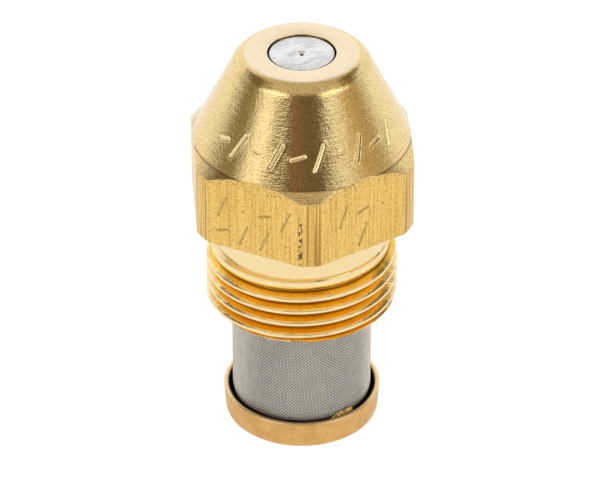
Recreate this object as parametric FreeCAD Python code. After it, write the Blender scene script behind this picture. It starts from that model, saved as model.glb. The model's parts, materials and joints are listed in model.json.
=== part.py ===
"""Oil burner nozzle with its strainer, in millimetres.

The origin is the centre of the strainer cap's bottom face. +Z runs along the axis towards the spray orifice.
A corner of the hexagon points along -Y, so two of its flats face +X and -X.
"""

import FreeCAD, Part
import math
import os
from FreeCAD import Vector

# ---- nozzle body, outside ----
thread_radius = 7.1
thread_pitch = 25.4 / 24
thread_crests = 5
thread_end = 0.84
relief_depth = 0.6
relief_length = 3.02
hex_across_flats = 15.875
hex_corner_cut = 0.395
hex_height = 5.4
nose_overhang = 0.09
nose_base_rise = 0.66
nose_top_radius = 4.98
nose_length = 6.2
shoulder_rounding = 1.1
tip_radius = 4.3
tip_rise = 0.6

# ---- nozzle body, inside ----
strainer_bore_depth = 6.0
screw_bore_radius = 4.4
screw_bore_length = 9.9
chamber_radius = 3.45
tip_hole_radius = 2.51
tip_wall = 1.38
mouth_chamfer = 0.3

# ---- orifice disc ----
disc_recess = 0.1
disc_side_clearance = 0.05
disc_seat_gap = 0.02
disc_flange = 1.6
spray_hole_radius = 0.13
spray_dimple_radius = 0.36
spray_dimple_depth = 0.12
spray_land = 0.18
swirl_radius = 0.5
swirl_depth = 0.2
seat_mouth_room = 0.15

# ---- swirl distributor ----
seat_gap = 0.05
distributor_tip_radius = 0.4
distributor_side_room = 0.55
distributor_ledge = 0.45
distributor_collar = 1.1
distributor_stem_radius = 1.35
distributor_stem = 0.7
swirl_slots = 4
swirl_slot_width = 0.3
swirl_slot_depth = 0.35

# ---- lock screw ----
screw_clearance = 0.05
screw_length = 5.2
screw_nose_room = 0.3
screw_way_radius = 1.7
screw_edge_rounding = 0.25
screw_slot_width = 1.2
screw_slot_depth = 1.3
cross_hole_radius = 0.45
cross_holes = 4

# ---- strainer ----
strainer_clearance = 0.05
strainer_side_room = 0.22
bush_length = 4.3
bush_spigot = 1.9
bush_way_radius = 2.6
bush_edge_rounding = 0.35
core_wall = 0.66
core_inner_radius = 4.2
core_fit = 0.02
window_columns = 6
window_rows = 2
window_width = 2.0
window_bar = 0.63
mesh_thickness = 0.35
mesh_fit = 0.02

# ---- strainer cap ----
cap_side_room = 0.27
cap_taper = 0.15
cap_height = 2.27
cap_wall = 0.4
cap_floor = 0.6
cap_edge_rounding = 0.45
cap_lip_rounding = 0.12
cap_boss = 0.8
strainer_reach = 10.33
solder_height = 0.55
solder_gap = 0.02

# ---- radii of the pieces that fit around each other ----
mesh_inner_radius = core_inner_radius + core_wall + mesh_fit
mesh_radius = mesh_inner_radius + mesh_thickness
strainer_bore_radius = mesh_radius + strainer_side_room
bush_radius = strainer_bore_radius - strainer_clearance
spigot_radius = core_inner_radius - core_fit
cap_inner_radius = mesh_radius + cap_side_room
cap_radius = cap_inner_radius + cap_wall
screw_nose_radius = chamber_radius - screw_nose_room
distributor_collar_radius = chamber_radius - distributor_side_room
distributor_cone_radius = distributor_collar_radius - distributor_ledge
seat_mouth_radius = distributor_cone_radius + seat_mouth_room
hex_corner_radius = hex_across_flats / math.sqrt(3) - hex_corner_cut
nose_base_radius = hex_across_flats / 2 + nose_overhang

# ---- heights along the axis ----
thread_low = strainer_reach
last_crest = thread_low + thread_end
first_crest = last_crest + (thread_crests - 1) * thread_pitch
hex_low = first_crest + relief_length
hex_top = hex_low + hex_height
nose_base = hex_top + nose_base_rise
nose_top = nose_base + nose_length
tip_face = nose_top + tip_rise
disc_seat = tip_face - tip_wall
disc_low = disc_seat - disc_flange
shoulder = thread_low + strainer_bore_depth
chamber_low = shoulder + screw_bore_length
bush_low = shoulder - strainer_clearance - bush_length

# ---- the external thread's 60 degree form ----
flank_slope = math.tan(math.radians(60))
crest_flat = thread_pitch / 8
root_flat = thread_pitch / 5
flank = (thread_pitch - crest_flat - root_flat) / 2
thread_root_radius = thread_radius - flank * flank_slope

AXIS = Vector(0, 0, 1)


def turned(corners):
    """A solid turned about Z. Each corner is (radius, height) or (radius, height, rounding)."""
    ends = []
    for number, corner in enumerate(corners):
        here = Vector(corner[0], 0, corner[1])
        rounding = corner[2] if len(corner) > 2 else 0
        if rounding == 0:
            ends.append((here, None, here))
            continue
        before = corners[number - 1]
        after = corners[(number + 1) % len(corners)]
        back = (Vector(before[0], 0, before[1]) - here).normalize()
        ahead = (Vector(after[0], 0, after[1]) - here).normalize()
        half_angle = back.getAngle(ahead) / 2
        reach = rounding / math.tan(half_angle)
        inward = (back + ahead).normalize()
        middle = here + inward * (rounding / math.sin(half_angle) - rounding)
        ends.append((here + back * reach, middle, here + ahead * reach))
    edges = []
    for number, (start, middle, end) in enumerate(ends):
        if middle is not None:
            edges.append(Part.Arc(start, middle, end).toShape())
        following = ends[(number + 1) % len(ends)][0]
        if end.distanceToPoint(following) > 1e-6:
            edges.append(Part.makeLine(end, following))
    return Part.Face(Part.Wire(edges)).revolve(Vector(0, 0, 0), AXIS, 360)


def ring(inner, outer, low, high):
    """A plain tube."""
    return turned([(inner, low), (outer, low), (outer, high), (inner, high)])


def rod(radius, low, high):
    return Part.makeCylinder(radius, high - low, Vector(0, 0, low))


def around(shape, count, first_angle=0):
    """Copies of a shape, evenly spaced around the axis."""
    copies = []
    for number in range(count):
        copy = shape.copy()
        copy.rotate(Vector(0, 0, 0), AXIS, first_angle + number * 360 / count)
        copies.append(copy)
    return copies


def hexagon(across_flats, low, high):
    """A hexagonal bar with corners on the Y axis."""
    corner = across_flats / math.sqrt(3)
    points = []
    for number in range(7):
        angle = math.radians(60 * number)
        points.append(Vector(corner * math.sin(angle), corner * math.cos(angle), low))
    return Part.Face(Part.makePolygon(points)).extrude(Vector(0, 0, high - low))


def thread_outline():
    """The external thread from its first crest down to the rear end, as rings."""
    outline = []
    for number in range(thread_crests):
        crest = first_crest - number * thread_pitch
        outline.append((thread_root_radius, crest + crest_flat / 2 + flank))
        outline.append((thread_radius, crest + crest_flat / 2))
        outline.append((thread_radius, crest - crest_flat / 2))
        outline.append((thread_root_radius, crest - crest_flat / 2 - flank))
    return outline


def nozzle_body():
    """The brass body: rear thread, relief, hexagon and conical nose, bored from the rear."""
    head = turned([
        (0, tip_face), (tip_radius, tip_face, shoulder_rounding),
        (nose_top_radius, nose_top, shoulder_rounding), (nose_base_radius, nose_base),
        (hex_corner_radius, hex_top), (hex_corner_radius, hex_low), (0, hex_low),
    ])
    head = head.common(hexagon(hex_across_flats, hex_low, tip_face))
    last_flank = last_crest - thread_pitch + crest_flat / 2 + flank
    end_radius = thread_root_radius + (last_flank - thread_low) * flank_slope
    relief_radius = thread_radius - relief_depth
    shank = turned(
        [(0, hex_low), (relief_radius, hex_low), (relief_radius, first_crest + crest_flat / 2 + flank)]
        + thread_outline()
        + [(thread_root_radius, last_flank), (end_radius, thread_low), (0, thread_low)]
    )
    return head.fuse(shank).cut(body_bore())


def body_bore():
    """The stepped bore: strainer thread, lock screw thread, chamber and the hole in the tip."""
    return turned([
        (0, thread_low), (strainer_bore_radius + mouth_chamfer, thread_low),
        (strainer_bore_radius, thread_low + mouth_chamfer), (strainer_bore_radius, shoulder),
        (screw_bore_radius, shoulder), (screw_bore_radius, chamber_low),
        (chamber_radius, chamber_low), (chamber_radius, disc_seat),
        (tip_hole_radius, disc_seat), (tip_hole_radius, tip_face), (0, tip_face),
    ])


def orifice_disc():
    """The steel disc behind the tip, with its conical seat, swirl chamber and spray hole."""
    top = tip_face - disc_recess
    swirl_top = top - spray_dimple_depth - spray_land
    swirl_low = swirl_top - swirl_depth
    spigot = tip_hole_radius - disc_side_clearance
    flange = chamber_radius - disc_side_clearance
    flange_top = disc_seat - disc_seat_gap
    return turned([
        (seat_mouth_radius, disc_low), (flange, disc_low), (flange, flange_top), (spigot, flange_top),
        (spigot, top), (spray_dimple_radius, top), (spray_hole_radius, top - spray_dimple_depth),
        (spray_hole_radius, swirl_top), (swirl_radius, swirl_low),
        (swirl_radius, seat_height(swirl_radius)),
    ])


def seat_height(radius):
    """The height of the disc's 90 degree seat at a radius."""
    return disc_low + (seat_mouth_radius - radius)


def cone_height(radius):
    """The height of the distributor's cone at a radius, a small gap below the seat."""
    return seat_height(radius) - seat_gap * math.sqrt(2)


def collar_top():
    return min(cone_height(distributor_cone_radius), disc_low - seat_gap)


def collar_low():
    """The height of the distributor's rear face, which the lock screw presses on."""
    return collar_top() - distributor_collar


def swirl_distributor():
    """The steel cone that sits in the disc, with slots that start the oil spinning."""
    stem_low = collar_low() - distributor_stem
    cone = turned([
        (0, stem_low), (distributor_stem_radius, stem_low), (distributor_stem_radius, collar_low()),
        (distributor_collar_radius, collar_low()), (distributor_collar_radius, collar_top()),
        (distributor_cone_radius, collar_top()),
        (distributor_cone_radius, cone_height(distributor_cone_radius)),
        (distributor_tip_radius, cone_height(distributor_tip_radius)),
        (0, cone_height(distributor_tip_radius)),
    ])
    length = 2 * distributor_cone_radius
    slot = Part.makeBox(swirl_slot_width, length, swirl_slot_depth)
    slot.translate(Vector(-swirl_slot_width / 2, -length / 2, -swirl_slot_depth))
    slot.rotate(Vector(0, 0, 0), Vector(1, 0, 0), -45)
    middle = (distributor_tip_radius + distributor_cone_radius) / 2
    slot.translate(Vector(distributor_tip_radius - swirl_slot_width / 2, middle, cone_height(middle)))
    return cone.cut(around(slot, swirl_slots))


def lock_screw():
    """The brass screw behind the distributor: rear slot, oil way and cross holes at its nose."""
    top = collar_low() - seat_gap
    thread_top = chamber_low - seat_gap
    low = thread_top - screw_length
    outer = screw_bore_radius - screw_clearance
    screw = turned([
        (0, low), (outer, low, screw_edge_rounding), (outer, thread_top, screw_edge_rounding),
        (screw_nose_radius, thread_top), (screw_nose_radius, top), (0, top),
    ])
    screw = screw.cut(rod(screw_way_radius, low - 1, top + 1))
    slot = Part.makeBox(2 * outer + 2, screw_slot_width, screw_slot_depth)
    slot.translate(Vector(-outer - 1, -screw_slot_width / 2, low))
    cross = Part.makeCylinder(cross_hole_radius, screw_nose_radius + 1, Vector(0, 0, 0), Vector(1, 0, 0))
    cross.translate(Vector(0, 0, (thread_top + top) / 2))
    return screw.cut([slot] + around(cross, cross_holes, 45))


def strainer_bush():
    """The threaded brass bush that holds the strainer in the body, with a spigot for the core."""
    top = shoulder - strainer_clearance
    return turned([
        (bush_way_radius, bush_low - bush_spigot), (spigot_radius, bush_low - bush_spigot),
        (spigot_radius, bush_low), (bush_radius, bush_low), (bush_radius, top, bush_edge_rounding),
        (bush_way_radius, top),
    ])


def strainer_core():
    """The windowed brass tube that carries the mesh between the bush and the cap."""
    outer = core_inner_radius + core_wall
    tube = ring(core_inner_radius, outer, cap_floor, bush_low)
    clear_low = cap_floor + cap_boss
    clear_high = bush_low - bush_spigot
    window_height = (clear_high - clear_low - window_bar) / window_rows - window_bar
    windows = []
    for row in range(window_rows):
        low = clear_low + window_bar + row * (window_height + window_bar)
        window = Part.makeBox(outer + 1, window_width, window_height)
        window.translate(Vector(0, -window_width / 2, low))
        windows += around(window, window_columns)
    return tube.cut(windows)


def mesh_sleeve():
    """The closed space that the rolled wire mesh takes up around the core."""
    return ring(mesh_inner_radius, mesh_radius, cap_floor, bush_low)


def bush_solder():
    """The solder fillet that joins the mesh to the underside of the bush."""
    inner = mesh_radius + solder_gap
    return turned([(inner, bush_low - solder_height), (bush_radius, bush_low), (inner, bush_low)])


def cap_solder():
    """The solder ring that joins the mesh to the cap, low inside its rim."""
    return ring(mesh_radius + solder_gap, cap_inner_radius - solder_gap, cap_floor, cap_floor + solder_height)


def end_cap():
    """The shallow brass cup that closes the strainer, with a boss inside the core."""
    boss_top = cap_floor + cap_boss
    return turned([
        (0, 0), (cap_radius - cap_taper, 0, cap_edge_rounding), (cap_radius, cap_height, cap_lip_rounding),
        (cap_inner_radius, cap_height, cap_lip_rounding), (cap_inner_radius, cap_floor),
        (spigot_radius, cap_floor), (spigot_radius, boss_top, cap_lip_rounding), (0, boss_top),
    ])


PIECES = [
    nozzle_body, orifice_disc, swirl_distributor, lock_screw,
    strainer_bush, strainer_core, mesh_sleeve, bush_solder, cap_solder, end_cap,
]

os.makedirs("parts", exist_ok=True)
for piece in PIECES:
    piece().exportStep("parts/" + piece.__name__ + ".step")
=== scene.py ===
"""An oil burner nozzle that stands on its strainer cap, in metres.

The axis is Z and a corner of the hexagon faces -Y. The sizes named for the pieces are in millimetres."""

import json
import math

import bmesh
import bpy
import numpy as np
from mathutils import Matrix, Vector, noise


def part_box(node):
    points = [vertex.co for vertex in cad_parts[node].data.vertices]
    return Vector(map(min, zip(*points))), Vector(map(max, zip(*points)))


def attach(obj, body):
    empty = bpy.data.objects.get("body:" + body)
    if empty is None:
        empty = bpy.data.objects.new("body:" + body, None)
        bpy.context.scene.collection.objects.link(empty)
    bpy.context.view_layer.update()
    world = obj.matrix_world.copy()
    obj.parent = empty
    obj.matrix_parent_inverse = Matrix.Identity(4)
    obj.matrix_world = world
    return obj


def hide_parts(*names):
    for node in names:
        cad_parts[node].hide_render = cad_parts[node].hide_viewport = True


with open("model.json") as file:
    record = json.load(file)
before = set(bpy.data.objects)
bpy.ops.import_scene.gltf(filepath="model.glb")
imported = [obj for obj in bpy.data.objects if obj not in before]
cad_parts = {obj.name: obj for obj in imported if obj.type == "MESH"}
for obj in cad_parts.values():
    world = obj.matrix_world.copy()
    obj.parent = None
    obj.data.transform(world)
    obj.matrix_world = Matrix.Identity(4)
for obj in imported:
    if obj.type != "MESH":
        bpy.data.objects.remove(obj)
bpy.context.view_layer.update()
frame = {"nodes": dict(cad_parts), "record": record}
nodes = frame["nodes"]

MM = 0.001
TAU = 2 * math.pi


# ---------------------------------------------------------------- camera

CAMERA_AZIMUTH = math.radians(4.1)
CAMERA_ELEVATION = math.radians(33.75)
CAMERA_DISTANCE = 322 * MM
LENS_MM = 260.0
SENSOR_MM = 36.0
LOOK_AT = Vector((0, 0, 14.97 * MM))
SIDE_STEP = -0.13 * MM


def add_camera():
    """A long lens looking down at the nozzle, a little to one side of the front corner."""
    lens = bpy.data.cameras.new("camera")
    lens.lens = LENS_MM
    lens.sensor_width = SENSOR_MM
    lens.clip_start = 0.01
    camera = bpy.data.objects.new("camera", lens)
    bpy.context.scene.collection.objects.link(camera)
    forward = Vector((
        math.sin(CAMERA_AZIMUTH) * math.cos(CAMERA_ELEVATION),
        math.cos(CAMERA_AZIMUTH) * math.cos(CAMERA_ELEVATION),
        -math.sin(CAMERA_ELEVATION),
    ))
    right = forward.cross(Vector((0, 0, 1))).normalized()
    camera.location = LOOK_AT + right * SIDE_STEP - forward * CAMERA_DISTANCE
    camera.rotation_euler = forward.to_track_quat("-Z", "Y").to_euler()
    bpy.context.scene.camera = camera


add_camera()


# ---------------------------------------------------------------- sizes, from the frame

def node_box(name):
    low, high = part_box(name)
    return low / MM, high / MM


body_low, body_high = node_box("nozzle_body")
cap_high = node_box("end_cap")[1]
mesh_low, mesh_high = node_box("mesh_sleeve")
disc_low, disc_high = node_box("orifice_disc")
bush_low, bush_high = node_box("strainer_bush")
screw_low, screw_high = node_box("lock_screw")
solder_low, solder_high = node_box("cap_solder")
fillet_low, fillet_high = node_box("bush_solder")
mounts = {mount["name"]: mount for mount in frame["record"]["mounts"]}

# The body's outside, in millimetres.
THREAD_R = mounts["burner_thread"]["dims"]["r_mm"]
PITCH = 25.4 / 24
THREAD_DEPTH = 0.68
FLAT_R = mounts["wrench_flat"]["pos_m"][0] / MM
CORNER_R = body_high.y
THREAD_LOW = body_low.z
TIP = body_high.z
LAST_CREST = THREAD_LOW + 0.84
FIRST_CREST = LAST_CREST + 4 * PITCH
THREAD_TOP = FIRST_CREST + 0.62
RELIEF_R = THREAD_R - 0.6
HEX_LOW = FIRST_CREST + 3.02
HEX_TOP = HEX_LOW + 5.4
BASE_R = FLAT_R + 0.09
BASE_Z = HEX_TOP + 0.66
NOSE_R = 4.98
NOSE_Z = BASE_Z + 6.2
TIP_R = 4.3
REAR_R = THREAD_R - 0.5
NOSE_SLOPE = math.atan((BASE_R - NOSE_R) / (NOSE_Z - BASE_Z))

# The body's inside, and the spigots that hold the strainer's core.
HOLE_R = 2.51
CHAMBER_R = 3.45
SCREW_BORE_R = 4.4
STRAINER_BORE_R = 5.45
BORE_CHAMFER = 0.3
DISC_SEAT = TIP - 1.38
SHOULDER = THREAD_LOW + 6.0
CHAMBER_LOW = SHOULDER + 9.9
CORE_SPIGOT_R = 4.18

# Angles on the hexagon: the middle of a flat to the turned corner, and the front corner's left edge.
FLAT_HALF = math.acos(FLAT_R / CORNER_R)
FRONT = -math.pi / 2
FRONT_EDGE = FRONT - (math.pi / 6 - FLAT_HALF)


# ---------------------------------------------------------------- shader maths

def feed(tree, socket, value):
    """Links a socket to a value of the tree, or sets it to a plain number or colour."""
    if isinstance(value, Value):
        tree.links.new(value.socket, socket)
    else:
        socket.default_value = value


class Value:
    """One output of a node tree. Arithmetic on it adds Math nodes."""

    def __init__(self, tree, socket):
        self.tree = tree
        self.socket = socket

    def node(self, kind, output=0, on=None, stops=None, **settings):
        """Adds a node: `settings` first, then a ramp's `stops`, then `on`, its sockets' links or values."""
        made = self.tree.nodes.new("ShaderNode" + kind)
        for name, value in settings.items():
            setattr(made, name, value)
        if stops:
            elements = made.color_ramp.elements
            while len(elements) < len(stops):
                elements.new(1.0)
            for element, (place, colour) in zip(elements, stops):
                element.position = place
                element.color = colour
        for name, value in (on or {}).items():
            feed(self.tree, made.inputs[name], value)
        return Value(self.tree, made.outputs[output])

    def math(self, operation, other=None):
        inputs = {0: self} if other is None else {0: self, 1: other}
        return self.node("Math", operation=operation, on=inputs)

    def __add__(self, other):
        return self.math("ADD", other)

    __radd__ = __add__

    def __mul__(self, other):
        return self.math("MULTIPLY", other)

    __rmul__ = __mul__

    def __sub__(self, other):
        return self.math("SUBTRACT", other)

    def __rsub__(self, other):
        return self.node("Math", operation="SUBTRACT", on={0: other, 1: self})

    def __truediv__(self, other):
        return self.math("DIVIDE", other)

    def __pow__(self, other):
        return self.math("POWER", other)

    def __gt__(self, other):
        return self.math("GREATER_THAN", other)

    def __lt__(self, other):
        return self.math("LESS_THAN", other)

    def smooth(self, low, high, start=0.0, end=1.0):
        """A soft step from start to end as the value goes from low to high."""
        return self.node(
            "MapRange", interpolation_type="SMOOTHSTEP", clamp=True,
            on={"Value": self, "From Min": low, "From Max": high, "To Min": start, "To Max": end},
        )

    def mix(self, first, second):
        """A colour between first and second, with this value as the factor."""
        return self.node("Mix", output=2, data_type="RGBA", on={0: self, 6: first, 7: second})


class Surface:
    """A metal finish being built: its tree, its Principled shader and where a point lies, in millimetres."""

    def __init__(self, name):
        self.material = bpy.data.materials.new(name)
        self.material.use_nodes = True
        self.tree = self.material.node_tree
        self.shader = self.tree.nodes["Principled BSDF"]
        self.place = Value(self.tree, None).node("TexCoord", output="Object")
        self.x, self.y, self.z = (
            self.place.node("SeparateXYZ", output=axis, on={0: self.place}) / MM for axis in range(3))
        self.radius = (self.x * self.x + self.y * self.y) ** 0.5
        self.angle = self.y.math("ARCTAN2", self.x)

    def set(self, **values):
        """Feeds the shader's sockets, with _ for the space in a name."""
        for name, value in values.items():
            feed(self.tree, self.shader.inputs[name.replace("_", " ")], value)

    def grain(self, x, y, z, detail=2.0, roughness=0.5):
        """Noise from 0 to 1 whose size along each axis follows how fast that value runs."""
        point = self.place.node("CombineXYZ", on={0: x, 1: y, 2: z})
        return self.place.node(
            "TexNoise", on={"Vector": point, "Scale": 1.0, "Detail": detail, "Roughness": roughness})

    def cloud(self, per_mm, detail=2.0):
        """Noise that is the same size every way."""
        return self.grain(self.x * per_mm, self.y * per_mm, self.z * per_mm, detail)

    def relief(self, height):
        """Feeds the surface's small heights, in millimetres, to its normal."""
        self.set(Normal=height.node("Bump", on={"Height": height, "Strength": 1.0, "Distance": MM}))


# The tip's face is painted pale: a painted highlight for the bright light on it.
TIP_HIGHLIGHT_BRASS = (0.90, 0.76, 0.54, 1)
NOSE_BRASS = (0.87, 0.66, 0.31, 1)
FLAT_BRASS = (0.86, 0.57, 0.17, 1)
FLAT_SHADE = (0.68, 0.42, 0.10, 1)
FLAT_LIGHT = (0.92, 0.68, 0.26, 1)
BAND_SHADE = (0.46, 0.26, 0.06, 1)
TARNISH = (0.40, 0.21, 0.04, 1)
RELIEF_BRASS = (0.90, 0.70, 0.38, 1)
# Thread colours: a deep orange painted on the flanks stands for light bounced between them, and the roots
# are painted with shade.
FLANK_BOUNCE_ORANGE = (0.92, 0.56, 0.07, 1)
DEEP_BRASS = (0.70, 0.33, 0.02, 1)
CREST_BRASS = (0.95, 0.75, 0.42, 1)
ROOT_SHADE = (0.42, 0.20, 0.03, 1)
STAMPED_BRASS = (0.95, 0.80, 0.45, 1)
# Dark brass for pits, chips and stamped marks, and painted shade in the inner corner at the nose's foot.
BRASS_DIRT_AND_SHADE = (0.26, 0.15, 0.05, 1)
BURR_DARK = (0.16, 0.08, 0.05, 1)


def turned_brass():
    """Bright bar brass: lines around the turned faces, lines along the drawn flats, painted shade and
    bounced light in the thread, painted shade at the nose's foot and a painted highlight on the tip.
    """
    surface = Surface("turned_brass")
    x, y, z = surface.x, surface.y, surface.z
    radius, angle = surface.radius, surface.angle
    rings = surface.grain(radius * 8, z * 8, angle, 3.0)
    streaks = surface.grain(x * 7, y * 7, z * 0.12, 3.0, 0.7)
    speckle = surface.cloud(8, 3.0)
    waves = surface.grain(x * 1.1, y * 1.1, z * 0.35)
    land = (CORNER_R - radius) * ((BASE_Z - HEX_TOP) / (CORNER_R - BASE_R)) + HEX_TOP
    cone = (BASE_R - radius) / math.tan(NOSE_SLOPE) + BASE_Z
    crown = land.math("MAXIMUM", cone)
    side = (z < crown - 0.04) * (z > HEX_LOW + 0.03) * (radius > FLAT_R - 0.1)
    nose = z > HEX_TOP
    tip = z > TIP - 0.04
    # The first crest's height follows the helix, and rises by a pitch behind the left side to meet itself.
    turned = x.math("ARCTAN2", y * -1)
    first_crest = (turned / TAU + turned.smooth(-2.0, -math.pi)) * PITCH + FIRST_CREST
    threaded = (z - first_crest).smooth(0.22, 0.10)
    height = radius.smooth(THREAD_R - THREAD_DEPTH + 0.04, THREAD_R - 0.04)
    # The thread's colour by radius: painted shade in the roots, a painted deep orange for light bounced
    # between the flanks and plain brass on the crests; lower turns are darker.
    groove = height.node("ValToRGB", on={0: height}, stops=[
        (0.0, ROOT_SHADE), (0.22, FLANK_BOUNCE_ORANGE), (0.6, FLANK_BOUNCE_ORANGE), (1.0, CREST_BRASS)])
    groove = (z.smooth(FIRST_CREST, THREAD_LOW) * height.smooth(0.95, 0.8) * 0.5).mix(groove, DEEP_BRASS)
    groove = (z - first_crest).math("ABSOLUTE").smooth(0.18, 0.11).mix(groove, CREST_BRASS)
    groove = z.smooth(THREAD_LOW + 0.24, THREAD_LOW + 0.12).mix(groove, CREST_BRASS)
    grit = speckle.smooth(0.52, 0.66)
    colour = (z > HEX_LOW - 0.1).mix(RELIEF_BRASS, NOSE_BRASS)
    colour = threaded.mix(colour, groove)
    colour = side.mix(colour, streaks.smooth(0.40, 0.56).mix(FLAT_SHADE, FLAT_BRASS))
    colour = (side * speckle.smooth(0.50, 0.36) * 0.4).mix(colour, FLAT_LIGHT)
    band = side * (radius > CORNER_R - 0.02) * surface.grain(angle * 38, 0.0, z * 0.04, 1.0)
    colour = band.smooth(0.52, 0.60).mix(colour, BAND_SHADE)
    stains = surface.grain(x * 0.9, y * 0.9, z * 7, 3.0).smooth(0.48, 0.64)
    colour = (threaded * stains * 0.2).mix(colour, TARNISH)
    # Painted shade: a dark line in the inner corner where the nose meets the hexagon's land.
    crease_shade = (z - BASE_Z).math("ABSOLUTE").smooth(0.10, 0.03) * (radius > BASE_R - 0.08) * (1 - side)
    chipped = (crown - z).smooth(0.18, 0.05) * side * surface.grain(x * 3, y * 3, z * 3).smooth(0.5, 0.62)
    colour = (crease_shade * 0.6).math("MAXIMUM", chipped * 0.7).mix(colour, BRASS_DIRT_AND_SHADE)
    # Painted highlight: the tip's face is painted pale.
    colour = tip.mix(colour, TIP_HIGHLIGHT_BRASS)
    colour = (grit * (0.10 + nose * 0.40 + side * 0.30) * (1 - tip * 0.7)).mix(colour, BRASS_DIRT_AND_SHADE)
    stamped = surface.place.node("Attribute", output="Fac", attribute_name="pressed")
    colour = (stamped * side * 0.55).mix(colour, BRASS_DIRT_AND_SHADE)
    colour = (stamped * nose * (1 - side) * 0.8).mix(colour, STAMPED_BRASS)
    from_edge = ((angle - FRONT_EDGE) * CORNER_R).math("ABSOLUTE")
    ragged = surface.grain(x * 5, y * 5, z * 3, 3.0)
    burr = from_edge.smooth(0.22, 0.08) * ragged.smooth(0.45, 0.56) * side
    burr = burr * z.smooth(HEX_TOP - 0.4, HEX_TOP - 2.2)
    colour = burr.mix(colour, BURR_DARK)
    surface.set(
        Base_Color=colour,
        Metallic=1.0,
        Roughness=0.09 + rings * 0.07 + side * 0.14 + tip * 0.12 + burr * 0.3,
    )
    lines = side * streaks * 0.014 + (1 - side) * rings * (0.003 + nose * 0.006)
    grit_height = speckle * 0.012 + surface.cloud(4) * 0.005
    surface.relief(lines + grit_height * (1 - tip * 0.7) + nose * waves * 0.025)
    return surface.material


# ---------------------------------------------------------------- mesh making

SHARP = math.radians(38)
JOIN = 0.002 * MM
FINE_ARC_STEPS = 3
WIDE_ARC_STEPS = 8
WIDE_ARC = 0.5
ARC_SHARE = 0.45


def new_piece(name, mesh, body, replaced, material, even=True):
    """Links a mesh as a piece that rides on a body; `even` lets its large faces lead the shading."""
    piece = bpy.data.objects.new(name, mesh)
    bpy.context.scene.collection.objects.link(piece)
    mesh.materials.append(material)
    if even:
        piece.modifiers.new("even_shading", "WEIGHTED_NORMAL").keep_sharp = True
    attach(piece, body)
    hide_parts(replaced)


def rounded(corners):
    """Points of an outline whose corners are (radius, height) or (radius, height, rounding)."""
    points = []
    for number, corner in enumerate(corners):
        here = Vector(corner[:2])
        rounding = corner[2] if len(corner) > 2 else 0
        if rounding == 0:
            points.append(tuple(here))
            continue
        steps = FINE_ARC_STEPS if rounding < WIDE_ARC else WIDE_ARC_STEPS
        back = Vector(corners[number - 1][:2]) - here
        ahead = Vector(corners[number + 1][:2]) - here
        room = ARC_SHARE * min(back.length, ahead.length)
        if room < 1e-5 or back.angle(ahead) > math.pi - 1e-3:
            points += [tuple(here)] * (steps + 1)
            continue
        half = back.angle(ahead) / 2
        reach = min(rounding / math.tan(half), room)
        inward = (back.normalized() + ahead.normalized()).normalized()
        centre = here + inward * (reach / math.cos(half))
        start = here + back.normalized() * reach - centre
        end = here + ahead.normalized() * reach - centre
        turn = start.angle(end)
        for step in range(steps + 1):
            first = math.sin((steps - step) / steps * turn) / math.sin(turn)
            second = math.sin(step / steps * turn) / math.sin(turn)
            points.append(tuple(centre + start * first + end * second))
    return points


def even_angles(count):
    return [TAU * number / count + FRONT for number in range(count)]


# How near a thread's crest comes to its high end, and how steeply its surface leaves its ends.
RUN_OUT = 0.2
END_SLOPE = 1.6
RELIEF_SLOPE = 0.1


class Skin:
    """Points and faces gathered for one closed mesh, in millimetres."""

    def __init__(self, angles):
        self.angles = angles
        self.points = []
        self.faces = []

    def add(self, columns, shift=0):
        """A grid through one column of (radius, height) points per angle; a helix closes `shift` rows up."""
        first = len(self.points)
        rows = len(columns[0])
        for angle, column in zip(self.angles, columns):
            for radius, height in column:
                self.points.append((radius * math.cos(angle), radius * math.sin(angle), height))
        for number in range(len(columns)):
            last = number == len(columns) - 1
            here = first + number * rows
            there = first if last else here + rows
            step = shift if last else 0
            for row in range(rows - 1 - step):
                self.faces.append((here + row, there + row + step, there + row + 1 + step, here + row + 1))

    def thread(self, form, pitch, crest, low, high, growth=9.0, wear=0.0):
        """A right-hand thread between two (radius, height) ends, with a crest at this height at the front.

        Below the run-out at the high end, a crest stands higher by `growth` for each millimetre down. `wear`
        makes the crests uneven, as a share of the thread's depth."""
        turns = math.ceil((high[1] - low[1]) / pitch) + 2
        start = crest - pitch * (math.ceil((crest - low[1]) / pitch) + 1)
        columns = []
        for angle in self.angles:
            column = []
            lead = start + pitch * (angle - FRONT) / TAU
            for row in range(turns * len(form) + 1):
                radius, offset = form[row % len(form)]
                middle = lead + pitch * (row // len(form))
                height = middle + offset
                if height <= low[1]:
                    column.append(low)
                elif height >= high[1]:
                    column.append(high)
                else:
                    radius = min(radius, high[0] + max(high[1] - middle - RUN_OUT, 0) * growth)
                    for end, rise, fall in ((low, END_SLOPE, END_SLOPE), (high, END_SLOPE, RELIEF_SLOPE)):
                        away = abs(end[1] - height)
                        radius = min(max(radius, end[0] - away * fall), end[0] + away * rise)
                    nick = noise.noise(Vector((angle * 9, middle * 2, 0)))
                    column.append((radius + wear * nick * (radius - form[0][0]), height + wear * nick * 0.5))
            columns.append(column)
        self.add(columns, shift=len(form))

    def mesh(self, name, details=None):
        """A mesh with coincident points joined, normals outwards and smooth shading with sharp edges."""
        made = bpy.data.meshes.new(name)
        made.from_pydata((np.array(self.points) * MM).tolist(), [], self.faces)
        work = bmesh.new()
        work.from_mesh(made)
        bmesh.ops.remove_doubles(work, verts=work.verts, dist=JOIN)
        bmesh.ops.dissolve_degenerate(work, edges=work.edges, dist=JOIN / 4)
        bmesh.ops.recalc_face_normals(work, faces=work.faces)
        if details:
            details(work)
        for face in work.faces:
            face.smooth = True
        work.to_mesh(made)
        work.free()
        made.set_sharp_from_angle(angle=SHARP)
        return made


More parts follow.
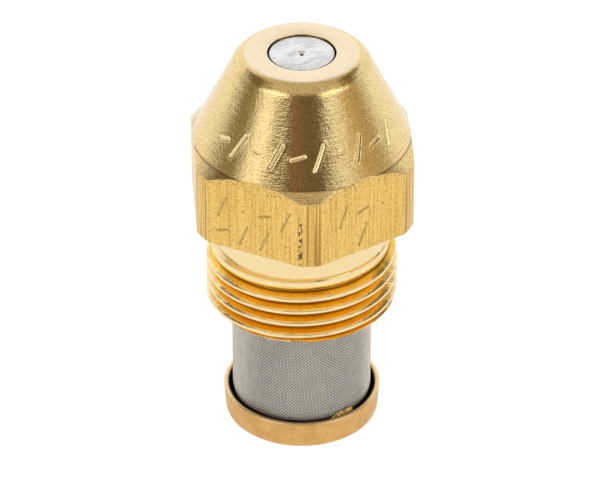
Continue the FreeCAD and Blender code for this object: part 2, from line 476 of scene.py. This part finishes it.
def lathe(name, outline, count):
    """A turned piece, from a closed outline of corners, with this many columns."""
    skin = Skin(even_angles(count))
    skin.add([rounded(outline)] * count)
    return skin.mesh(name)


def thread_form(crest_r, depth, pitch, crest, root, rounding=0.06):
    """One pitch of thread as (radius, height) points, from root centre up to the next, but without it."""
    root_r = crest_r - depth
    foot = (pitch - root) / 2
    return rounded([
        (root_r, -pitch / 2), (root_r, -foot, rounding), (crest_r, -crest / 2, rounding),
        (crest_r, crest / 2, rounding), (root_r, foot, rounding), (root_r, pitch / 2),
    ])[:-1]


# ---------------------------------------------------------------- stamped marks

STROKES = {"/": (0.2, 0.5), "-": (0.26, 0.08), ".": (0.0, 0.0)}
MARK_WIDTH = 0.09
MARK_DEPTH = 0.07
MARK_LIP = 0.15
FINER_WITHIN = 0.32
PRESSED_WITHIN = 0.4
ON_FACE = 0.02
FAR = 9.0


def row_of_marks(pattern, spacing, middle, height):
    """Stamped strokes as (u, v, half u, half v): slanted, level and punched dots, evenly spaced."""
    marks = []
    for number, kind in enumerate(pattern):
        along, up = STROKES[kind]
        marks.append(((number - (len(pattern) - 1) / 2) * spacing, middle, along * height, up * height))
    return marks


def distance_to_marks(u, v, marks):
    nearest = np.full(len(u), FAR)
    for middle_u, middle_v, along, up in marks:
        length = max(along * along + up * up, 1e-9)
        share = np.clip(((u - middle_u) * along + (v - middle_v) * up) / length, -1, 1)
        nearest = np.minimum(nearest, np.hypot(u - middle_u - share * along, v - middle_v - share * up))
    return nearest


def stamp(work, place, outward, marks):
    """Presses marks into one face of the head. `place` turns points into that face's own (u, v, off)."""
    def measured(items, point_of):
        u, v, off = place(np.array([tuple(point_of(item)) for item in items]) / MM)
        return np.where(np.abs(off) < ON_FACE, distance_to_marks(u, v, marks), FAR)

    faces = list(work.faces)
    near = measured(faces, lambda face: face.calc_center_median())
    edges = {edge for face, away in zip(faces, near) if away < FINER_WITHIN for edge in face.edges}
    bmesh.ops.subdivide_edges(work, edges=list(edges), cuts=3, use_grid_fill=True)
    pressed = work.verts.layers.float.get("pressed") or work.verts.layers.float.new("pressed")
    verts = list(work.verts)
    near = measured(verts, lambda vert: vert.co)
    for vert, away in zip(verts, near):
        if away < PRESSED_WITHIN:
            groove = math.exp(-(away / MARK_WIDTH) ** 2)
            vert[pressed] = max(vert[pressed], groove)
            lip = math.exp(-((away - 2 * MARK_WIDTH) / MARK_WIDTH) ** 2)
            flat = Vector((vert.co.x, vert.co.y, 0)).normalized()
            vert.co += outward(flat) * (MARK_LIP * lip - groove) * MARK_DEPTH * MM


def on_nose(points):
    """Places on the conical nose: around from the front, up the slope, and off the cone."""
    radius = np.hypot(points[:, 0], points[:, 1])
    u = (np.arctan2(points[:, 1], points[:, 0]) - FRONT) * (BASE_R + NOSE_R) / 2
    up = points[:, 2] - BASE_Z
    off = (radius - BASE_R) * math.cos(NOSE_SLOPE) + up * math.sin(NOSE_SLOPE)
    return u, up * math.cos(NOSE_SLOPE) - (radius - BASE_R) * math.sin(NOSE_SLOPE), off


def on_flat(angle):
    """Places on the flat that faces this angle: along it, up from its foot, and off it."""
    across = np.array((math.cos(angle), math.sin(angle)))
    along = np.array((-math.sin(angle), math.cos(angle)))
    return lambda points: (
        points[:, :2] @ along, points[:, 2] - HEX_LOW, points[:, :2] @ across - FLAT_R)


TORN_WIDTH = 0.14
TORN_HEIGHT = 0.14


def head_details(work):
    """Generic marks on the nose and on the two front flats, and a torn edge beside the front corner."""
    def off_nose(flat):
        return flat * math.cos(NOSE_SLOPE) + Vector((0, 0, math.sin(NOSE_SLOPE)))

    stamp(work, on_nose, off_nose, row_of_marks("-/./-/./-/", spacing=1.45, middle=2.35, height=1.8))
    for number, side in enumerate((-1, 1)):
        angle = FRONT + side * math.pi / 6
        facing = Vector((math.cos(angle), math.sin(angle), 0))
        marks = row_of_marks(("/.-/", "/-.")[number], spacing=1.7, middle=3.55, height=1.6)
        marks += row_of_marks(("-//.", "/")[number], spacing=1.7, middle=1.45, height=1.6)
        stamp(work, on_flat(angle), lambda flat: facing, marks)
    for vert in work.verts:
        point = vert.co / MM
        if HEX_LOW - 0.01 < point.z < HEX_TOP and point.xy.length > FLAT_R:
            away = (math.atan2(point.y, point.x) - FRONT_EDGE) * CORNER_R
            if abs(away) < 0.5:
                coarse = noise.noise(Vector((point.z * 3.1, 0, 0)))
                fine = noise.noise(Vector((0, point.z * 9, 0)))
                reach = math.exp(-(away / TORN_WIDTH) ** 2)
                vert.co.xy *= 1 + TORN_HEIGHT * (coarse + 0.5 * fine) * reach / CORNER_R


# ---------------------------------------------------------------- nozzle body

# Columns across half a turned corner and across a flat.
CORNER_STEPS = 4
FLAT_STEPS = 42

# Extra rows, and the number of the outline's or form's point that each stretch follows.
FLAT_FOOT, FLAT_ROWS = 9, 30
SLOPE_FOOT, SLOPE_ROWS = 17, 40
RISING_FLANK, FALLING_FLANK, FLANK_ROWS = 4, 12, 4


def column_angles():
    """Angles of the body's columns, with one on each edge between a flat and a turned corner."""
    angles = []
    for flat in range(6):
        middle = flat * math.pi / 3 - math.pi / 3
        stops = (-math.pi / 6, -FLAT_HALF, FLAT_HALF, math.pi / 6)
        for low, high, steps in zip(stops, stops[1:], (CORNER_STEPS, FLAT_STEPS, CORNER_STEPS)):
            angles += [middle + low + (high - low) * step / steps for step in range(steps)]
    return angles


def hex_radius(angle):
    """How far the hexagon's side is from the axis: flats face 0, 60, ... degrees, corners are turned."""
    off = (angle + math.pi / 6) % (math.pi / 3) - math.pi / 6
    return min(FLAT_R / math.cos(off), CORNER_R)


def with_steps(points, first, count):
    """The same points, with the stretch after number `first` cut into equal steps."""
    start, end = points[first], points[first + 1]
    between = [
        (start[0] + (end[0] - start[0]) * step / count, start[1] + (end[1] - start[1]) * step / count)
        for step in range(1, count)
    ]
    return points[:first + 1] + between + points[first + 1:]


def head_column(angle):
    """The body's outline at one angle, from the relief up over the nose and down the bore."""
    side = hex_radius(angle)
    if side > BASE_R:
        edge = (side, HEX_TOP + (CORNER_R - side) * (BASE_Z - HEX_TOP) / (CORNER_R - BASE_R), 0.05)
        base = (BASE_R, BASE_Z, 0.05)
    else:
        slope = math.tan(NOSE_SLOPE)
        edge = (side, BASE_Z + (BASE_R - side) / slope, 0.05)
        base = (side - 0.1 * slope, edge[1] + 0.1, 0.05)
    outline = rounded([
        (RELIEF_R, THREAD_TOP), (RELIEF_R, THREAD_TOP + 0.04), (RELIEF_R, HEX_LOW, 0.1),
        (side, HEX_LOW, 0.12), edge, base,
        (NOSE_R, NOSE_Z, 1.2), (TIP_R, TIP, 1.0), (HOLE_R, TIP, 0.05), (HOLE_R, DISC_SEAT),
        (CHAMBER_R, DISC_SEAT), (CHAMBER_R, CHAMBER_LOW), (SCREW_BORE_R, CHAMBER_LOW),
        (SCREW_BORE_R, SHOULDER), (STRAINER_BORE_R, SHOULDER), (STRAINER_BORE_R, THREAD_LOW + BORE_CHAMFER),
        (STRAINER_BORE_R + BORE_CHAMFER, THREAD_LOW), (REAR_R, THREAD_LOW),
    ])
    return with_steps(with_steps(outline, SLOPE_FOOT, SLOPE_ROWS), FLAT_FOOT, FLAT_ROWS)


def nozzle_mesh():
    """The body as one closed skin: outside thread, relief, hexagon, nose and bore."""
    skin = Skin(column_angles())
    form = thread_form(THREAD_R, THREAD_DEPTH, PITCH, crest=0.22, root=0.2)
    form = with_steps(with_steps(form, FALLING_FLANK, FLANK_ROWS), RISING_FLANK, FLANK_ROWS)
    skin.thread(
        form, PITCH, LAST_CREST, (REAR_R, THREAD_LOW), (RELIEF_R, THREAD_TOP), growth=0.4, wear=0.04)
    skin.add([head_column(angle) for angle in skin.angles])
    return skin.mesh("nozzle", head_details)


new_piece("nozzle", nozzle_mesh(), "body", "nozzle_body", turned_brass())


# ---------------------------------------------------------------- orifice disc

SPRAY_R = 0.13
DIMPLE_R = 0.36
SWIRL_R = 0.5
CONE_SEAT_R = 2.6
CONE_SEAT_TALL = 2.1
GRIND_ALONG = 0.94
GRIND_ACROSS = 0.34


def disc_mesh():
    """The disc: a flange, a spigot that fills the tip's hole, and the seat, swirl chamber and spray hole."""
    low, top = disc_low.z, disc_high.z
    flange = CHAMBER_R - 0.05
    spigot = HOLE_R - 0.11
    face = DISC_SEAT - 0.02
    return lathe("disc", [
        (SWIRL_R, low + CONE_SEAT_TALL), (CONE_SEAT_R, low), (flange, low, 0.05), (flange, face),
        (spigot, face), (spigot, top, 0.05), (DIMPLE_R, top, 0.06), (SPRAY_R, top - 0.12),
        (SPRAY_R, top - 0.3), (SWIRL_R, top - 0.5), (SWIRL_R, low + CONE_SEAT_TALL),
    ], 160)


def ground_steel():
    """A face ground straight across, with fine slanting scratches and painted shade around its edge."""
    surface = Surface("ground_steel")
    along = surface.x * GRIND_ALONG + surface.y * GRIND_ACROSS
    across = surface.y * GRIND_ALONG - surface.x * GRIND_ACROSS
    scratches = surface.grain(along * 0.8, across * 16, surface.z, 3.0, 0.6)
    cloud = surface.cloud(0.9, 3.0)
    dimple = surface.radius.smooth(0.46, 0.3)
    shade = (scratches.smooth(0.46, 0.60) * 0.6 + cloud.smooth(0.42, 0.6) * 0.4) * (1 - dimple)
    steel = shade.mix((0.88, 0.88, 0.89, 1), (0.56, 0.57, 0.60, 1))
    # Painted shade: a dark ring at the disc's edge, in the gap to the tip's hole.
    rim = surface.radius.smooth(HOLE_R - 0.20, HOLE_R - 0.13) * (surface.z > disc_high.z - 0.06)
    surface.set(
        Base_Color=rim.mix(steel, (0.05, 0.03, 0.025, 1)),
        Metallic=1.0,
        Roughness=0.2 + scratches * 0.2,
    )
    surface.relief(scratches * 0.006)
    return surface.material


new_piece("spray_disc", disc_mesh(), "disc", "orifice_disc", ground_steel())


# ---------------------------------------------------------------- wire mesh

WIRE = 0.1
WIRE_PITCH = 0.187
MESH_TWIST = math.radians(4.3)

# A crossing nearer to a wire's end than this share of the wires' spacing is left out.
END_MARGIN = 0.3

# Near-black brown: flux stain deepened into painted shade in the joints and hollows at the cap.
FLUX_AND_SHADE_BROWN = (0.05, 0.016, 0.007, 1)


def wire_family(sign, lean, count, other_count, crossing_rise, centre_r, low, high):
    """Points and faces of the wires that lean one way, over and under those that lean the other way.

    `lean` is how far a wire goes around for each millimetre up. Two wires that lean opposite ways and start
    together meet again `crossing_rise` higher."""
    tall = high - low
    norm = math.hypot(1, lean)
    points = []
    faces = []
    for wire in range(count):
        start, end = sorted((wire / count, wire / count + sign * tall / crossing_rise))
        nearest = math.ceil(start * other_count + END_MARGIN)
        furthest = math.floor(end * other_count - END_MARGIN)
        crossed = np.arange(nearest, furthest + 1)
        rise = sign * crossing_rise * (crossed / other_count - wire / count)
        over = sign * (1 - 2 * ((crossed + wire) % 2))
        order = np.argsort(rise)
        rise = np.concatenate([[0], rise[order], [tall]])
        over = np.concatenate([[0], over[order], [0]])
        angle = TAU * wire / count + sign * lean * rise / centre_r
        zero = np.zeros(len(rise))
        out = np.stack([np.cos(angle), np.sin(angle), zero], 1)
        side = np.stack([-np.sin(angle), np.cos(angle), zero - sign * lean], 1) / norm
        centre = out * (centre_r + over * WIRE / 2)[:, None] + np.stack([zero, zero, low + rise], 1)
        ring = [centre + direction * WIRE / 2 for direction in (out, side, -out, -side)]
        first = sum(len(part) for part in points)
        points.append(np.stack(ring, 1).reshape(-1, 3))
        last = first + (len(rise) - 1) * 4
        for here in range(first, last, 4):
            for corner in range(4):
                after = (corner + 1) % 4
                faces.append((here + corner, here + after, here + 4 + after, here + 4 + corner))
        faces.append((first + 3, first + 2, first + 1, first))
        faces.append((last, last + 1, last + 2, last + 3))
    return np.concatenate(points), faces


def woven_mesh():
    """Both families of wires as one mesh, rolled a few degrees off the bias."""
    centre_r = mesh_high.x - WIRE
    ends = (mesh_low.z + WIRE / 2, mesh_high.z - WIRE / 2)
    turns = (math.pi / 4 - MESH_TWIST, math.pi / 4 + MESH_TWIST)
    leans = [math.tan(turn) for turn in turns]
    # Even numbers of wires, so that over and under still alternate all the way around.
    counts = [2 * round(TAU * centre_r * math.cos(turn) / WIRE_PITCH / 2) for turn in turns]
    crossing_rise = TAU * centre_r / sum(leans)
    one, one_faces = wire_family(1, leans[0], counts[0], counts[1], crossing_rise, centre_r, *ends)
    two, two_faces = wire_family(-1, leans[1], counts[1], counts[0], crossing_rise, centre_r, *ends)
    made = bpy.data.meshes.new("woven")
    made.from_pydata(
        (np.concatenate([one, two]) * MM).tolist(), [],
        one_faces + [tuple(corner + len(one) for corner in face) for face in two_faces])
    made.polygons.foreach_set("use_smooth", [True] * len(made.polygons))
    made.update()
    return made


def drawn_wire():
    """Bright stainless wire, drawn, with a slight change of tone from wire to wire."""
    surface = Surface("drawn_wire")
    tone = surface.cloud(1.4)
    fine = surface.cloud(12)
    colour = (tone.smooth(0.3, 0.7) * 0.4 + fine * 0.6).mix((0.70, 0.65, 0.60, 1), (0.90, 0.86, 0.82, 1))
    # Flux brown where the wires meet the cap, deepened into painted shade where they go down into it.
    flux = surface.z.smooth(cap_high.z + 0.1, cap_high.z - 0.3) * (fine * 0.4 + 0.8)
    surface.set(
        Base_Color=flux.mix(colour, FLUX_AND_SHADE_BROWN),
        Metallic=1.0,
        Roughness=0.26 + fine * 0.12,
    )
    return surface.material


new_piece(
    "wire_mesh", woven_mesh(), "strainer", "mesh_sleeve", drawn_wire(), even=False)


# ---------------------------------------------------------------- end cap

CAP_WALL = 0.4
CAP_TAPER = 0.15
CAP_FLOOR = 0.6
SPIGOT_TOP = 1.4


def cap_mesh():
    """The pressed cup, a little narrower at its foot, with the spigot that fills the core's end."""
    outer, top = cap_high.x, cap_high.z
    inner = outer - CAP_WALL
    return lathe("cap", [
        (0, 0), (outer - CAP_TAPER, 0, 0.45), (outer, top, 0.12), (inner, top, 0.1), (inner, CAP_FLOOR),
        (CORE_SPIGOT_R, CAP_FLOOR), (CORE_SPIGOT_R, SPIGOT_TOP, 0.1), (0, SPIGOT_TOP),
    ], 200)


def tumbled_brass():
    """Brass left matte by tumbling, dimpled all over and rubbed bright on the lip, with painted shade inside
    the cup.
    """
    surface = Surface("tumbled_brass")
    dimples = surface.cloud(6, 4.0)
    cloud = surface.cloud(0.8, 3.0)
    worn = surface.z.smooth(cap_high.z - 0.16, cap_high.z - 0.02)
    mottle = cloud.smooth(0.35, 0.65) * 0.5 + dimples * 0.5
    colour = mottle.mix((0.78, 0.48, 0.18, 1), (0.60, 0.33, 0.10, 1))
    colour = (worn * 0.7).mix(colour, (0.95, 0.76, 0.45, 1))
    specks = surface.cloud(9, 3.0).smooth(0.60, 0.68)
    colour = (specks * 0.5).mix(colour, (0.30, 0.15, 0.05, 1))
    # Inside the cup: a flux stain that darkens into painted shade deeper down.
    inside = surface.radius.smooth(cap_high.x - 0.20, cap_high.x - 0.32) * (surface.z > 0.3)
    stain = surface.z.smooth(cap_high.z - 0.1, cap_high.z - 0.7).mix((0.42, 0.24, 0.09, 1), FLUX_AND_SHADE_BROWN)
    colour = inside.mix(colour, stain)
    surface.set(Base_Color=colour, Metallic=1.0, Roughness=0.42 - worn * 0.15)
    surface.relief(dimples * 0.02 + surface.cloud(1.5) * 0.03)
    return surface.material


new_piece("strainer_cap", cap_mesh(), "strainer", "end_cap", tumbled_brass())


# ---------------------------------------------------------------- solder

LUMP = FRONT + math.radians(29)
LUMP_SPREAD = math.radians(14)
SOLDER_WALL = 0.19


def cap_solder_mesh():
    """A low uneven ring of solder in the cap's gap, with one lump that rises to the rim."""
    inner = -solder_low.x - SOLDER_WALL
    outer = solder_high.x + 0.01
    skin = Skin(even_angles(240))
    columns = []
    for angle in skin.angles:
        turn = (angle - LUMP + math.pi) % TAU - math.pi
        lump = math.exp(-(turn / LUMP_SPREAD) ** 4) * (1 + 0.35 * turn / LUMP_SPREAD)
        uneven = noise.noise(Vector((math.cos(angle), math.sin(angle), 0)) * 6)
        top = solder_high.z - 0.12 + 0.1 * uneven + lump * (1.2 + 0.4 * uneven)
        columns.append(rounded([
            (inner, solder_low.z), (outer, solder_low.z), (outer, top - 0.1 * lump, 0.1),
            (inner, top + 0.1 + 0.25 * lump, 0.08), (inner, solder_low.z),
        ]))
    skin.add(columns)
    return skin.mesh("cap_solder")


def bush_solder_mesh():
    """The fillet under the bush, hollow and a little uneven."""
    inner = mesh_high.x - 0.04
    outer = fillet_high.x - 0.02
    skin = Skin(even_angles(160))
    columns = []
    for angle in skin.angles:
        foot = fillet_low.z + 0.08 * (1 + noise.noise(Vector((math.cos(angle), math.sin(angle), 2)) * 4))
        top = fillet_high.z
        columns.append([
            (inner, foot), (inner + 0.07, foot + 0.16), (outer - 0.05, top - 0.08),
            (outer, top), (inner, top), (inner, foot),
        ])
    skin.add(columns)
    return skin.mesh("bush_solder")


def dull_solder(name, bright, dark, foot):
    """Solder or brazing that set with a wrinkled, dull skin, brown with flux and painted shade below `foot`.
    """
    surface = Surface(name)
    wrinkles = surface.cloud(4, 3.0)
    colour = wrinkles.smooth(0.35, 0.65).mix(bright, dark)
    surface.set(
        Base_Color=surface.z.smooth(foot + 0.6, foot).mix(colour, FLUX_AND_SHADE_BROWN),
        Metallic=1.0,
        Roughness=0.3 + wrinkles * 0.2,
    )
    surface.relief(wrinkles * 0.03)
    return surface.material


new_piece(
    "cap_braze", cap_solder_mesh(), "strainer", "cap_solder",
    dull_solder("braze", (0.66, 0.50, 0.19, 1), (0.36, 0.23, 0.07, 1), solder_high.z + 0.2))
new_piece(
    "bush_fillet", bush_solder_mesh(), "strainer", "bush_solder",
    dull_solder("solder", (0.62, 0.60, 0.56, 1), (0.44, 0.42, 0.38, 1), 0.0))


# ---------------------------------------------------------------- threaded inner pieces

FINE_PITCH = 0.75
FINE_DEPTH = 0.36
FINE_END_DEPTH = 0.4
FINE_FIRST_CREST = 0.7
SCREW_THREAD_TOP = CHAMBER_LOW - 0.05
SCREW_R = screw_high.x
SCREW_NOSE_R = CHAMBER_R - 0.3
SCREW_WAY_R = 1.7
THROUGH = 12
BUSH_WAY_R = 2.6


def keep_largest(mesh):
    """Joins coincident points and drops the slivers that a cut leaves loose."""
    work = bmesh.new()
    work.from_mesh(mesh)
    bmesh.ops.remove_doubles(work, verts=work.verts, dist=JOIN)
    bmesh.ops.dissolve_degenerate(work, edges=work.edges, dist=JOIN)
    left = set(work.verts)
    islands = []
    while left:
        island = {left.pop()}
        waiting = list(island)
        while waiting:
            for edge in waiting.pop().link_edges:
                for vert in edge.verts:
                    if vert in left:
                        left.remove(vert)
                        island.add(vert)
                        waiting.append(vert)
        islands.append(island)
    largest = max(islands, key=len)
    bmesh.ops.delete(work, geom=[vert for vert in work.verts if vert not in largest], context="VERTS")
    bmesh.ops.triangulate(work, faces=work.faces)
    work.to_mesh(mesh)
    work.free()


def cut_out(mesh, cutters):
    """The mesh with the cutters' shapes taken out of it."""
    blank = bpy.data.objects.new(mesh.name, mesh)
    bpy.context.scene.collection.objects.link(blank)
    tools = []
    for cutter in cutters:
        tool = bpy.data.objects.new("cutter", cutter)
        bpy.context.scene.collection.objects.link(tool)
        cut = blank.modifiers.new("cut", "BOOLEAN")
        cut.object = tool
        cut.solver = "EXACT"
        tools.append(tool)
    finished = blank.evaluated_get(bpy.context.evaluated_depsgraph_get())
    result = bpy.data.meshes.new_from_object(finished)
    for item in [blank] + tools:
        bpy.data.objects.remove(item)
    keep_largest(result)
    result.set_sharp_from_angle(angle=SHARP)
    return result


def bar(size, centre, turn=0.0, sides=4):
    """A closed bar to cut with: square or round across X, turned about the axis."""
    made = bpy.data.meshes.new("bar")
    work = bmesh.new()
    if sides == 4:
        bmesh.ops.create_cube(work, size=1)
        bmesh.ops.scale(work, verts=work.verts, vec=Vector(size) * MM)
    else:
        bmesh.ops.create_cone(
            work, cap_ends=True, segments=sides, radius1=size[1] / 2 * MM, radius2=size[1] / 2 * MM,
            depth=size[0] * MM)
        bmesh.ops.rotate(work, verts=work.verts, matrix=Matrix.Rotation(math.pi / 2, 3, "Y"))
    bmesh.ops.translate(work, verts=work.verts, vec=Vector(centre) * MM)
    bmesh.ops.rotate(work, verts=work.verts, matrix=Matrix.Rotation(turn, 3, "Z"))
    work.to_mesh(made)
    work.free()
    return made


def fine_thread(skin, crest_r, low, high):
    """Adds a fine thread to a skin and gives its two (radius, height) ends."""
    ends = ((crest_r - FINE_END_DEPTH, low), (crest_r - FINE_END_DEPTH, high))
    form = thread_form(crest_r, FINE_DEPTH, FINE_PITCH, crest=0.12, root=0.1, rounding=0.04)
    skin.thread(form, FINE_PITCH, low + FINE_FIRST_CREST, *ends)
    return ends


def screw_mesh():
    """The lock screw: fine thread, plain nose, oil way, driving slot and four cross holes."""
    low, top = screw_low.z, screw_high.z
    skin = Skin(even_angles(144))
    low_end, high_end = fine_thread(skin, SCREW_R, low, SCREW_THREAD_TOP)
    skin.add([rounded([
        high_end, (SCREW_NOSE_R, SCREW_THREAD_TOP), (SCREW_NOSE_R, top, 0.15), (SCREW_WAY_R, top, 0.1),
        (SCREW_WAY_R, low, 0.1), low_end,
    ])] * 144)
    slot = bar((THROUGH, 1.2, 2.6), (0, 0, low))
    holes = [
        bar((THROUGH, 0.9, 0.9), (0, 0, (SCREW_THREAD_TOP + top) / 2), turn=math.radians(degrees), sides=24)
        for degrees in (45, 135)
    ]
    return cut_out(skin.mesh("lock_screw"), [slot] + holes)


def bush_mesh():
    """The strainer's bush: fine thread, plain spigot below and a clear way through."""
    foot, low, top = bush_low.z, mesh_high.z, bush_high.z
    skin = Skin(even_angles(180))
    low_end, high_end = fine_thread(skin, bush_high.x, low, top)
    skin.add([rounded([
        high_end, (BUSH_WAY_R, top, 0.2), (BUSH_WAY_R, foot), (CORE_SPIGOT_R, foot, 0.1),
        (CORE_SPIGOT_R, low), low_end,
    ])] * 180)
    return skin.mesh("bush")


def screw_brass():
    """Brass straight off the lathe, with fine lines around it."""
    surface = Surface("screw_brass")
    lines = surface.grain(surface.radius * 9, surface.z * 9, surface.angle, 3.0)
    cloud = surface.cloud(1.2, 3.0)
    colour = cloud.smooth(0.35, 0.7).mix((0.84, 0.60, 0.24, 1), (0.74, 0.48, 0.16, 1))
    surface.set(Base_Color=colour, Metallic=1.0, Roughness=0.2 + lines * 0.14)
    surface.relief(lines * 0.004)
    return surface.material


def painted_shade_brass():
    """Brass under the mesh, painted dark to stand for the shade seen through the mesh's gaps."""
    surface = Surface("painted_shade_brass")
    cloud = surface.cloud(1.5, 3.0)
    colour = cloud.smooth(0.35, 0.7).mix((0.20, 0.12, 0.06, 1), (0.10, 0.06, 0.03, 1))
    surface.set(Base_Color=colour, Metallic=1.0, Roughness=0.4 + cloud * 0.2)
    surface.relief(cloud * 0.01)
    return surface.material


def turned_steel():
    """Steel straight off the lathe."""
    surface = Surface("turned_steel")
    lines = surface.grain(surface.radius * 12, surface.z * 12, surface.angle, 3.0)
    cloud = surface.cloud(1.0, 3.0)
    colour = cloud.smooth(0.35, 0.7).mix((0.72, 0.72, 0.73, 1), (0.58, 0.58, 0.60, 1))
    surface.set(Base_Color=colour, Metallic=1.0, Roughness=0.22 + lines * 0.16)
    surface.relief(lines * 0.004)
    return surface.material


inner_brass = screw_brass()
new_piece("distributor_screw", screw_mesh(), "screw", "lock_screw", inner_brass)
new_piece("threaded_bush", bush_mesh(), "strainer", "strainer_bush", inner_brass)
# The strainer's core takes the painted shade finish.
for name, finish in (("strainer_core", painted_shade_brass()), ("swirl_distributor", turned_steel())):
    nodes[name].data.materials.clear()
    nodes[name].data.materials.append(finish)


# ---------------------------------------------------------------- floor and light

FLOOR_GLOW = 0.94
FLOOR_REACH = 3.0

# The studio around the nozzle: degrees from the front towards +X, brightness and tint.
WHITE = (1.0, 1.0, 1.0)
DIM = (1.0, 0.80, 0.48)
RUST = (1.0, 0.50, 0.28)
STUDIO_BANDS = [
    (-180, 1.10, WHITE), (-130, 1.05, WHITE), (-110, 0.60, WHITE), (-94, 0.28, DIM), (-76, 0.30, DIM),
    (-66, 0.90, WHITE), (-57, 1.18, WHITE), (-47, 1.12, WHITE), (-40, 0.26, DIM), (-17, 0.14, DIM),
    (-11, 0.36, RUST), (-6, 0.18, DIM), (12, 0.16, DIM), (26, 0.16, DIM), (34, 0.76, WHITE),
    (45, 0.84, WHITE), (58, 0.66, DIM), (72, 0.52, DIM), (88, 0.48, DIM), (100, 0.70, WHITE),
    (115, 0.98, WHITE), (180, 1.10, WHITE),
]
SOFTBOX_TOP = (1.6, 1.6, 1.55, 1)
OVERHEAD = (0.62, 0.55, 0.44, 1)
GAP = (0.20, 0.14, 0.07, 1)


def add_floor():
    """A pale floor that gives off an even light of its own, so that no shadow shows on it."""
    corners = [(FLOOR_REACH * x, FLOOR_REACH * y, 0) for x, y in ((-1, -1), (1, -1), (1, 1), (-1, 1))]
    mesh = bpy.data.meshes.new("floor")
    mesh.from_pydata(corners, [], [(0, 1, 2, 3)])
    floor = bpy.data.objects.new("floor", mesh)
    bpy.context.scene.collection.objects.link(floor)
    material = bpy.data.materials.new("floor")
    material.use_nodes = True
    shader = material.node_tree.nodes["Principled BSDF"]
    shader.inputs["Base Color"].default_value = (0.15, 0.15, 0.15, 1)
    shader.inputs["Roughness"].default_value = 0.9
    shader.inputs["Specular IOR Level"].default_value = 0.0
    shader.inputs["Emission Color"].default_value = (1, 1, 1, 1)
    shader.inputs["Emission Strength"].default_value = FLOOR_GLOW
    mesh.materials.append(material)


def add_studio():
    """Soft white behind and on both sides of a dark front, under a dimmer ceiling."""
    world = bpy.data.worlds.new("studio")
    bpy.context.scene.world = world
    world.use_nodes = True
    tree = world.node_tree
    sky = Value(tree, None).node("TexCoord", output="Generated")
    x, y, z = (sky.node("SeparateXYZ", output=axis, on={0: sky}) for axis in range(3))
    turn = x.math("ARCTAN2", y * -1) / TAU + 0.5
    stops = [
        ((angle + 180) / 360, (*(level * part for part in tint), 1)) for angle, level, tint in STUDIO_BANDS
    ]
    around = turn.node("ValToRGB", on={0: turn}, stops=stops)
    colour = z.smooth(0.55, 0.92).mix(around, OVERHEAD)
    tops = z.smooth(0.30, 0.44) * z.smooth(0.82, 0.68) * (y * -1).smooth(0.15, 0.35)
    colour = (tops * x.math("ABSOLUTE").smooth(0.30, 0.45)).mix(colour, SOFTBOX_TOP)
    aside = (turn - 0.5).math("ABSOLUTE") * 360
    gaps = z.smooth(0.46, 0.60) * z.smooth(0.90, 0.78) * aside.smooth(80, 90) * aside.smooth(142, 126)
    colour = gaps.mix(colour, GAP)
    feed(tree, tree.nodes["Background"].inputs["Color"], colour)


add_floor()
add_studio()
bpy.context.scene.view_settings.view_transform = "Standard"
